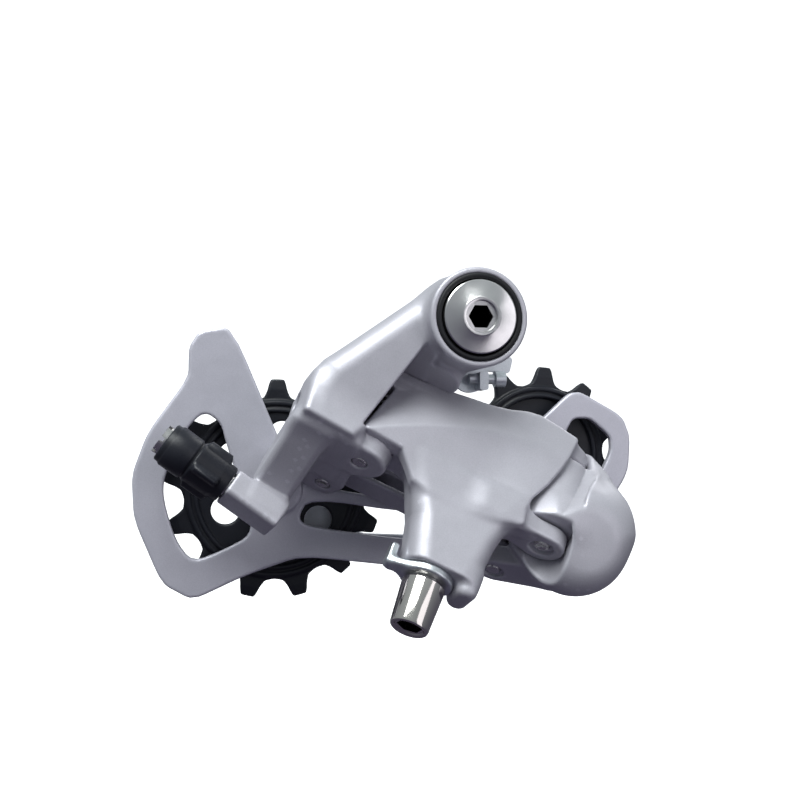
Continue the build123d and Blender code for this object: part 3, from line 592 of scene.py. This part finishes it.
def wall_room(p):
    """What the outer link's wall sweeps round the knuckle's outer pin, as an arc from its inner face."""
    q = in_links(p, LINK_TURN, knuckle_outer)
    reach = link_length - np.interp(q[:, Z], *np.array(LINK_END).T)
    radius = np.hypot(q[:, X], q[:, Y])
    angle = (np.arctan2(q[:, Y], q[:, X]) - pi / 2) % (2 * pi) + pi / 2
    wide = np.maximum(radius, 0.1)
    face = np.interp(radius, [9.5, 13.0], [6.2, 3.1])
    first = pi + np.arcsin(np.clip(face / wide, -1, 1))
    last = pi + np.arcsin(np.clip(9.0 / wide, -1, 1))
    last = np.minimum(last, pi + np.arccos(np.clip((reach - 0.4) / wide, -1, 1))) + radians(SWING)
    near = np.hypot(np.maximum(reach, 0), 6.4) - CLEAR - radius
    arc = np.maximum(first - angle, angle - last) * np.minimum(wide, 12.0)
    return capped(np.maximum(near, arc), q[:, Z], 3.9, 30.0, 0.0)


def link_room(p):
    """What both links sweep round the knuckle's pins."""
    room = np.full(len(p), FAR_AWAY)
    toe_room = [(0, 0, 5.6), (-3.0, -1.2, 6.2), (-9.5, 0.8, 7.6), (-36, 0.8, 7.6)]
    flange_room = [(-40, -9), (-10.5, -9), (-8.2, -3), (-8.2, 7), (-40, 7)]
    for step in range(0, SWING + 1, 10):
        q = in_links(p, LINK_TURN + step, knuckle_outer)
        for low, high in ((-24.3, 5.2), (24.1, 36.9)):
            room = np.minimum(room, hull(q, Z, toe_room, low, high, 0.0))
        room = np.minimum(room, slab(q, Z, flange_room, 3.9, 25.4, 0.0))
        q = in_links(p, LINK_TURN + step, knuckle_inner)
        room = np.minimum(room, hull(q, Z, [(0, 0, 4.1), (-30, 0, 4.1)], 4.0, 9.6, 0.0))
        room = np.minimum(room, hull(q, Z, [(-10.5, 0, 4.1), (-30, 0, 4.1)], 4.0, 11.7, 0.0))
    return room


DOME_R, DOME_FACE, DOME_BACK = 13.5, -25.0, 3.6
LUG_FOOT, LUG_TOP = 5.2, 24.1
KNUCKLE_SHOULDER = [(20.0, -28.8), (30.0, -28.4), (35.6, -31.2), (38.3, -36.0), (39.4, -42.0), (39.4, -51.0),
                    (26.0, -60.0), (14.0, -52.0), (16.0, -36.0)]
STOP_AT, STOP_OUT = 192.5, 15.9


def knuckle_solid(p, q):
    """The domed housing, its shoulder, the lug between the links and the cage's stop, before the holes."""
    dome = drum(p, Y, cage_axis, DOME_R, DOME_FACE, 20.0, 7.5)
    dome = meet(dome, p[:, Y] - DOME_BACK, 0.8)
    shoulder = slab(p, Y, KNUCKLE_SHOULDER, -22.5, 0.5, 4.5, 3.0)
    slope = -7.0 + 0.95 * (p[:, Z] + 29.0)
    shoulder = meet(shoulder, (slope - p[:, Y]) * 0.72, 5.0)
    body = join(dome, shoulder, 5.0)
    body = join(body, drum(q, Z, knuckle_outer, 7.4, LUG_FOOT, LUG_TOP, 1.6), 5.0)
    low_flange = hull(q, Z, [(*knuckle_inner, 4.7), (53, 4, 5.0)], -1.2, 4.0, 0.5)
    high_flange = hull(q, Z, [(*knuckle_inner, 3.5), (52, 9, 3.0)], 9.6, 12.0, 0.4)
    body = join(body, join(low_flange, high_flange), 1.2)
    stop_dir = np.array([cos(radians(STOP_AT)), sin(radians(STOP_AT))])
    stop = hull(p, Y, [(*(cage_axis + STOP_OUT * stop_dir), 1.2), (*cage_axis, 6.0)], 1.2, DOME_BACK, 0.3)
    return join(body, stop, 0.6)


def knuckle_field(p):
    """The knuckle, with room for the links to swing, bored for its pins and the cage's axle."""
    q = in_links(p)
    body = cut(knuckle_solid(p, q), wall_room(p), 2.0)
    body = cut(body, link_room(p), 0.9)
    body = cut(body, drum(q, Z, knuckle_outer, PIN_R + 0.03, -6.0, 34.0), 0.2)
    body = cut(body, drum(q, Z, knuckle_inner, PIN_R, -6.0, 18.0), 0.2)
    body = cut(body, drum(q, Z, knuckle_inner, 3.0, -6.0, -0.3), 0.2)
    body = cut(body, drum(p, Y, cage_axis, 6.2, -15.0, -13.2), 0.1)
    body = cut(body, drum(p, Y, cage_axis, 5.4, -13.2, 0.0), 0.1)
    return cut(body, drum(p, Y, cage_axis, 8.6, -7.9, 9.0), 0.2)


def inner_link_field(p):
    """A channel-shaped bar with a slot for the spring, thinner where it meets the knuckle."""
    q = in_links(p, LINK_TURN, inner_pin)
    body = hull(q, Z, [(0, 0, 3.8), (link_length, 0, 3.8)], 4.3, 10.0, 0.6)
    hollow = slab(q, Z, [(-10, -20), (57, -20), (57, 1.6), (-10, 1.6)], 5.7, 8.6, 0.2)
    body = cut(body, hollow, 0.4)
    step = slab(q, Y, [(34, 11.0), (40, 9.3), (60, 9.3), (60, 11.0)], -20.0, 20.0, 0.0)
    body = cut(body, step, 0.4)
    body = join(body, hull(q, Z, [(41, 0, 3.8), (link_length, 0, 3.8)], 7.9, 9.3, 0.4), 0.3)
    window = belt(q[:, X], q[:, Z], (16.1, 7.15, 1.4), (21.9, 7.15, 1.4))
    body = cut(body, capped(window, q[:, Y], 0.0, 9.0, 0.0), 0.3)
    for x in (0, link_length):
        body = cut(body, drum(q, Z, (x, 0), PIN_R + 0.03, 0.0, 20.0), 0.2)
    return body


cast("bracket_casting", bracket_field, "bracket_body", "bracket", casting)
cast("outer_link_casting", outer_link_field, "outer_link", "outer_link", casting)
cast("knuckle_casting", knuckle_field, "knuckle_body", "knuckle", casting)
cast("inner_link_casting", inner_link_field, "inner_link", "inner_link", casting)


# ---- cage plates ----
OUTER_PLATE = [(-53.8, 0.2), (-61.5, -1.2), (-63.9, -5.0), (-64.0, -12.5), (-73.5, -26.0), (-77.0, -36.0),
               (-76.4, -46.5), (-69.8, -62.0), (-62.6, -66.2), (-50.0, -60.6), (-36.5, -56.3), (-8.9, -59.9),
               (14.0, -62.4), (14.0, -42.5), (-8.0, -43.6), (-33.0, -39.3), (-38.6, -35.8)]
REAR_WINDOW = [(-60.2, -20.6), (-56.2, -23.4), (-54.8, -29.0), (-49.4, -44.5), (-48.6, -51.0), (-55.5, -54.5),
               (-62.8, -57.2), (-66.8, -51.7), (-69.7, -42.0), (-69.6, -36.5), (-64.6, -25.0)]
FRONT_WINDOW = [(-37.4, -47.3), (-34.6, -42.1), (-8.0, -46.4), (6.0, -45.6), (6.5, -53.6), (-8.9, -53.1),
                (-34.0, -49.3)]
GUARD_LOOP = [(22.8, -26.0), (27.2, -22.2), (34.8, -15.4), (38.0, -15.2), (49.6, -21.4), (51.8, -27.0),
              (51.1, -36.5), (44.7, -46.0), (29.5, -52.7), (23.8, -43.1)]
LOOP_HOLE = [(33.3, -26.0), (35.7, -22.0), (40.5, -22.0), (46.2, -26.8), (46.4, -30.8), (42.3, -38.9),
             (34.2, -40.3)]
PLATE_GAP = (7.5, 16.5)
OUTER_PLATE_FACE, INNER_PLATE_BACK = 5.5, 18.3
PLATE_EDGE, WHEEL_BOLT_R, AXLE_R = 0.45, 2.5, 4.2


def outer_plate_field(p):
    """The outer plate with its horn and windows, the boss round the cage's axle and the guard loop."""
    x, z = p[:, X], p[:, Z]
    boss = np.hypot(x - cage_axis[0], z - cage_axis[1]) - 12.6
    outline = join(polygon(x, z, eased(OUTER_PLATE, 0.14)) - 0.1, boss, 2.0)
    outline = join(outline, belt(x, z, (*cage_axis, 12.0), (*guide, 7.5)), 2.0)
    outline = join(outline, polygon(x, z, eased(GUARD_LOOP, 0.16)) - 0.2, 2.0)
    for hole in (eased(LOOP_HOLE, 0.16), eased(REAR_WINDOW), eased(FRONT_WINDOW)):
        outline = cut(outline, polygon(x, z, hole), 0.3)
    body = capped(outline, p[:, Y], OUTER_PLATE_FACE, PLATE_GAP[0], PLATE_EDGE)
    body = join(body, drum(p, Y, tension, 6.0, OUTER_PLATE_FACE - 0.5, OUTER_PLATE_FACE + 0.5, 0.3), 0.6)
    for at in (guide, tension):
        body = cut(body, drum(p, Y, at, WHEEL_BOLT_R, 0.0, 9.0), 0.1)
    return cut(body, drum(p, Y, cage_axis, AXLE_R, 0.0, 9.0), 0.1)


def inner_plate_field(p):
    """The inner plate, a bent arm that widens at the wheels' bolts."""
    x, z = p[:, X], p[:, Z]
    arm = [(*tension, 8.0), (-22, -55.6, 3.4), (12, -57.6, 3.6), (26, -47, 9.0), (*guide, 8.0)]
    outline = belt(x, z, arm[0], arm[1])
    for first, second in zip(arm[1:], arm[2:]):
        outline = join(outline, belt(x, z, first, second), 2.0)
    body = capped(outline, p[:, Y], PLATE_GAP[1], INNER_PLATE_BACK, PLATE_EDGE)
    for at in (guide, tension):
        body = cut(body, drum(p, Y, at, WHEEL_BOLT_R, 12.0, 22.0), 0.1)
    return body


cast("outer_plate_pressing", outer_plate_field, "outer_cage_plate", "cage", plate_paint,
     cell=0.4, margin=2.0)
cast("inner_plate_pressing", inner_plate_field, "inner_cage_plate", "cage", bright_paint,
     cell=0.4, margin=2.0)


# ---- chain wheels ----
CHAIN_PITCH = 12.7
HUB_R, BUSH_ROOM_R = 7.8, 4.03
HOLE_RING_R, HOLE_R, FIRST_HOLE = 13.5, 3.6, 83


def wheel_field(at, teeth, first_tooth, rim_half, holes=0):
    """A chain wheel: a toothed rim with a groove, a dished web, a hub, and a ring of holes."""
    pitch_r = CHAIN_PITCH / 2 / sin(pi / teeth)

    def field(p):
        x, y, z = p[:, X] - at[0], p[:, Y], p[:, Z] - at[1]
        radius = np.hypot(x, z)
        angle = np.arctan2(z, x) - radians(first_tooth)
        pitch = 2 * pi / teeth
        turn = (angle + pitch / 2) % pitch - pitch / 2
        sideways = np.abs(radius * np.sin(turn))
        tooth = meet(sideways * 0.93 - (pitch_r + 3.2 - radius) * 0.34 - 0.85, radius - pitch_r - 1.1, 0.4)
        gap_turn = np.abs(turn) - pitch / 2
        gap = np.hypot(radius * np.cos(gap_turn) - pitch_r - 0.25, radius * np.sin(gap_turn)) - 4.05
        outline = meet(join(radius - pitch_r + 3.4, tooth, 0.6), -gap, 0.3)
        thick = 1.1 - np.clip(radius - pitch_r + 1.5, 0, 3) * 0.16
        body = capped(outline, (y - wheel_y) / thick, -1.0, 1.0, 0.22)
        body = join(body, drum(p, Y, at, pitch_r - 4.4, wheel_y - rim_half, wheel_y + rim_half, 0.4), 0.8)
        for side in (-1, 1):
            dish = np.maximum(radius - pitch_r + 7.4, 1.3 - side * (y - wheel_y))
            body = cut(body, dish, 0.8)
            groove = np.hypot(radius - pitch_r + 5.9, (y - wheel_y) * side - rim_half) - 0.45
            body = cut(body, groove, 0.3)
        body = join(body, drum(p, Y, at, HUB_R, PLATE_GAP[0] + 1.1, PLATE_GAP[1] - 1.1, 0.3), 0.8)
        for i in range(holes):
            turned_to = radians(FIRST_HOLE) + i * 2 * pi / holes
            centre = (at[0] + HOLE_RING_R * cos(turned_to), at[1] + HOLE_RING_R * sin(turned_to))
            body = cut(body, drum(p, Y, centre, HOLE_R, 0.0, 24.0), 0.5)
        return cut(body, drum(p, Y, at, BUSH_ROOM_R, 0.0, 24.0), 0.2)

    return field


guide_field = wheel_field(guide, teeth=11, first_tooth=117, rim_half=2.6)
tension_field = wheel_field(tension, teeth=13, first_tooth=-104.6, rim_half=1.9, holes=6)
cast("guide_wheel_moulding", guide_field, "guide_wheel", "guide_wheel", plastic,
     cell=0.33, margin=2.0)
cast("tension_wheel_moulding", tension_field, "tension_wheel", "tension_wheel", plastic,
     cell=0.33, margin=2.0)


# ---- cable clamp ----
CLAMP_LOW, CLAMP_EAR_TOP = NOSE_FACE - 1.9, -13.6


def clamp_plate_field(p):
    """A round washer with a hooked tab that turns up beside the nose."""
    o = in_links(p, LINK_TURN)
    body = drum(o, Z, CLAMP_AT, 6.2, CLAMP_LOW, NOSE_FACE, 0.5)
    tab = slab(o, Z, [(14.6, 0.2), (21, -3), (21, 5), (14.6, 3.6)], CLAMP_LOW, NOSE_FACE, 0.7, 1.4)
    hook_outline = [(13.9, 0.2), (15.7, 0.2), (15.7, 3.6), (13.9, 3.6)]
    hook = slab(o, Z, hook_outline, CLAMP_LOW, CLAMP_EAR_TOP, 0.85, 0.4)
    body = join(join(body, tab, 0.8), hook, 1.4)
    return cut(body, drum(o, Z, CLAMP_AT, CLAMP_BOLT_R, -24.0, -2.0), 0.1)


cast("clamp_plate_pressing", clamp_plate_field, "cable_clamp_plate", "outer_link", zinc,
     cell=0.22, margin=2.0)


# ---- turned pieces ----
KEY = 5.0
THREAD_STEP = 0.1


def helix(radius, pitch, depth):
    """A ring's radius on a screw thread."""

    def thread(angle, height):
        phase = (height / pitch - angle / (2 * pi)) % 1.0
        return radius - depth * np.abs(2 * phase - 1)

    return thread


def spaced(low, high, step, radius):
    """Rings at even steps."""
    count = int(round((high - low) / step))
    return [(low + (high - low) * i / count, radius) for i in range(count + 1)]


def mounting_bolt():
    """A domed head with a raised lip round its key socket, a plain shank and the hanger thread."""
    socket = hexagon(KEY)
    rings = [(-21.8, socket), (-26.9, socket), (-26.95, 3.5), (-27.75, 3.65), (-27.8, 3.8), (-27.8, 4.3),
             (-27.65, 4.6), (-27.0, 8.1), (-26.8, 8.35), (-26.6, 8.4), (-24.0, 8.4), (-23.9, 8.2),
             (-23.9, 6.0), (-1.5, 6.0), (-1.5, 5.3), (-0.5, 5.3), (-0.5, 6.0), (-0.1, 6.0), (0.0, 5.8),
             (0.0, 4.4)]
    rings += spaced(0.4, 8.2, THREAD_STEP, helix(5.0, 1.0, 0.55))
    rings += [(8.4, 4.4), (9.0, 4.0)]
    turned("mounting_bolt_turned", rings, along((0, 0, 0), (0, 1, 0)), "root", "mounting_bolt",
           polished, sharp=25)


def seal_ring():
    rings = [(-24.7, 8.75), (-26.1, 8.75), (-26.35, 9.0), (-26.45, 9.4), (-26.35, 9.8), (-26.1, 10.0),
             (-24.7, 10.0), (-24.7, 8.75)]
    turned("seal_ring_moulding", rings, along((0, 0, 0), (0, 1, 0)), "bracket", "bolt_seal_ring",
           rubber, sharp=50)


def link_place(at):
    """Places lathe points on an axis along the link pins."""
    return along(link_origin + link_forward * at[0] + link_inboard * at[1], pin_axis)


def cable_bolt():
    """A long tapered head with a key socket, and a thread into the nose."""
    u, v = CLAMP_AT
    c, s = cos(radians(LINK_TURN)), sin(radians(LINK_TURN))
    at = (u * c - v * s, u * s + v * c)
    socket = hexagon(KEY)
    rings = [(-24.8, socket), (-29.6, socket), (-29.7, 3.1), (-30.2, 3.5), (-30.3, 3.7), (-30.3, 3.9),
             (-30.1, 4.15), (-29.6, 4.32), (-20.4, 4.9), (-20.0, 4.95), (-19.75, 4.85), (-19.7, 4.6),
             (-19.7, 4.0), (-19.0, 4.0), (-19.0, CLAMP_BOLT_R)]
    rings += spaced(-18.9, -6.4, THREAD_STEP, helix(CLAMP_BOLT_R, 0.8, 0.35))
    rings += [(-6.3, 1.9)]
    turned("cable_bolt_turned", rings, link_place(at), "outer_link", "cable_fixing_bolt",
           nickel, sharp=25)


def knob():
    """A hollow knob with four finger lobes below a plain collar."""

    def lobed(radius, lift):
        return lambda angle, height: radius + lift * np.maximum(np.cos(4 * angle + radians(40)), -0.2) ** 3

    rings = [(9.2, 3.6), (9.2, 2.55), (0.35, 2.55), (0.35, 4.2), (0.7, 4.5), (2.3, 4.5),
             (2.7, lobed(4.7, 0.9)), (3.2, lobed(4.8, 1.5)), (8.6, lobed(4.9, 1.4)), (9.0, lobed(5.0, 0.7)),
             (9.4, 5.1), (9.6, 5.0), (9.8, 4.75), (10.1, 4.75), (10.3, 5.0), (10.6, 5.15), (15.6, 5.15),
             (15.9, 4.95), (16.2, 4.75), (17.0, 4.7), (17.3, 4.4), (17.3, 3.75), (9.2, 3.6)]
    turned("knob_moulding", rings, along(adjuster_mouth, adjuster_axis), "cable_adjuster", "adjuster_knob",
           plastic, segments=120, sharp=50)


def pin(name, at, low, high, body, node):
    """A link pin with a dimpled, riveted lower end."""
    rings = [(low + 0.25, 0.8), (low + 0.1, 1.1), (low, 1.35), (low + 0.05, 1.6), (low + 0.5, 1.95),
             (low + 0.7, PIN_R), (high - 0.3, PIN_R), (high, 1.7)]
    turned(name, rings, link_place(at), body, node, dull_nickel, segments=64)


mounting_bolt()
seal_ring()
cable_bolt()
knob()
pin("bracket_outer_pin_rivet", CENTRE, 0.0, UPPER_EAR_TOP, "bracket", "bracket_outer_link_pin")
pin("bracket_inner_pin_rivet", inner_pin, 0.0, INNER_EAR_TOP, "bracket", "bracket_inner_link_pin")
pin("knuckle_outer_pin_rivet", knuckle_outer, 1.2, 28.6, "outer_link", "knuckle_outer_link_pin")
pin("knuckle_inner_pin_rivet", knuckle_inner, -0.9, 12.0, "knuckle", "knuckle_inner_link_pin")

# ---- CAD nodes that keep their shape ----
kept_finishes = {
    zinc: ["stopper_plate", "bolt_snap_ring", "hanger_tension_screw", "low_limit_screw", "high_limit_screw",
           "axle_snap_ring", "guide_wheel_caps", "tension_wheel_caps"],
    bronze: ["bracket_pivot_bushes", "cage_pivot_bush", "guide_wheel_bush", "tension_wheel_bush"],
    wire_steel: ["bracket_pivot_spring", "link_return_spring", "cage_return_spring"],
    dull_nickel: ["adjuster_screw", "cage_stop_pin", "guide_wheel_bolt", "tension_wheel_bolt"],
    polished: ["cage_axle"],
}
for finish, kept_nodes in kept_finishes.items():
    for node in kept_nodes:
        for material_slot in frame["nodes"][node].material_slots:
            material_slot.material = finish


# ---- stage, light and camera, in metres ----
def studio():
    """A pale floor that sweeps up into a backdrop on both sides."""
    floor_z, wall_y, wall_top, bend, half_width, steps = -0.16, 1.6, 4.0, 0.8, 4.0, 16
    profile = []
    for i in range(steps + 1):
        turn = i / steps * pi / 2
        profile.append((wall_y - bend + bend * sin(turn), floor_z + bend - bend * cos(turn)))
    profile.append((wall_y, wall_top))
    profile = [(-y, z) for y, z in reversed(profile)] + profile
    points = [(side * half_width, y, z) for y, z in profile for side in (-1, 1)]
    faces = [[2 * i, 2 * i + 1, 2 * i + 3, 2 * i + 2] for i in range(len(profile) - 1)]
    mesh = bpy.data.meshes.new("studio_floor")
    mesh.from_pydata(points, [], faces)
    mesh.polygons.foreach_set("use_smooth", [True] * len(mesh.polygons))
    material, nodes, _ = new_material("pale_paper")
    paper = nodes["Principled BSDF"]
    paper.inputs["Base Color"].default_value = (0.93, 0.93, 0.93, 1)
    paper.inputs["Roughness"].default_value = 0.9
    paper.inputs["Emission Color"].default_value = (1, 1, 1, 1)
    paper.inputs["Emission Strength"].default_value = 0.8
    mesh.materials.append(material)
    floor = bpy.data.objects.new("studio_floor", mesh)
    bpy.context.scene.collection.objects.link(floor)
    floor.visible_diffuse = False
    floor.visible_glossy = False
    floor.visible_shadow = False


OBJECT_MIDDLE = Vector((-0.01, 0, -0.03))


def aimed(place, target):
    """The turn that points a light or the camera at a target."""
    return (target - place).to_track_quat("-Z", "Y").to_euler()


def area_light(name, place, size, power, colour):
    light = bpy.data.lights.new(name, "AREA")
    light.shape = "RECTANGLE"
    light.size, light.size_y = size
    light.energy = power
    light.color = colour
    lamp = bpy.data.objects.new(name, light)
    lamp.location = place
    lamp.rotation_euler = aimed(Vector(place), OBJECT_MIDDLE)
    bpy.context.scene.collection.objects.link(lamp)


def camera():
    """A view of the outer side, from a little behind it."""
    place, target = Vector((-0.05976, -0.21849, -0.02649)), Vector((-0.01269, 0.0, -0.01774))
    data = bpy.data.cameras.new("camera")
    data.lens = 40.5
    data.sensor_width = 36
    data.clip_start = 0.005
    view = bpy.data.objects.new("camera", data)
    view.location = place
    view.rotation_euler = aimed(place, target)
    bpy.context.scene.collection.objects.link(view)
    bpy.context.scene.camera = view


def world():
    """A sky that is cool and light above, dim below."""
    sky = bpy.data.worlds.new("studio_world")
    sky.use_nodes = True
    nodes, wires = sky.node_tree.nodes, sky.node_tree.links
    place = nodes.new("ShaderNodeTexCoord")
    split = nodes.new("ShaderNodeSeparateXYZ")
    ramp = nodes.new("ShaderNodeValToRGB")
    ramp.color_ramp.elements[0].color = (0.11, 0.10, 0.15, 1)
    ramp.color_ramp.elements[1].color = (0.62, 0.68, 0.70, 1)
    ramp.color_ramp.elements[0].position = 0.25
    ramp.color_ramp.elements[1].position = 0.85
    lift = nodes.new("ShaderNodeMapRange")
    lift.inputs["From Min"].default_value = -1.0
    wires.new(place.outputs["Generated"], split.inputs["Vector"])
    wires.new(split.outputs["Z"], lift.inputs["Value"])
    wires.new(lift.outputs["Result"], ramp.inputs["Fac"])
    wires.new(ramp.outputs["Color"], nodes["Background"].inputs["Color"])
    nodes["Background"].inputs["Strength"].default_value = 0.7
    bpy.context.scene.world = sky


studio()
area_light("key_light", (-0.30, -0.45, 0.75), (0.7, 0.5), 11.5, (0.96, 1.0, 0.99))
area_light("fill_light", (0.6, -0.8, 0.0), (0.5, 0.8), 1.6, (0.98, 0.95, 1.0))
area_light("rim_light", (0.5, 0.5, 0.6), (0.6, 0.4), 2.0, (1.0, 1.0, 1.0))
world()
camera()
bpy.context.scene.view_settings.view_transform = "Standard"
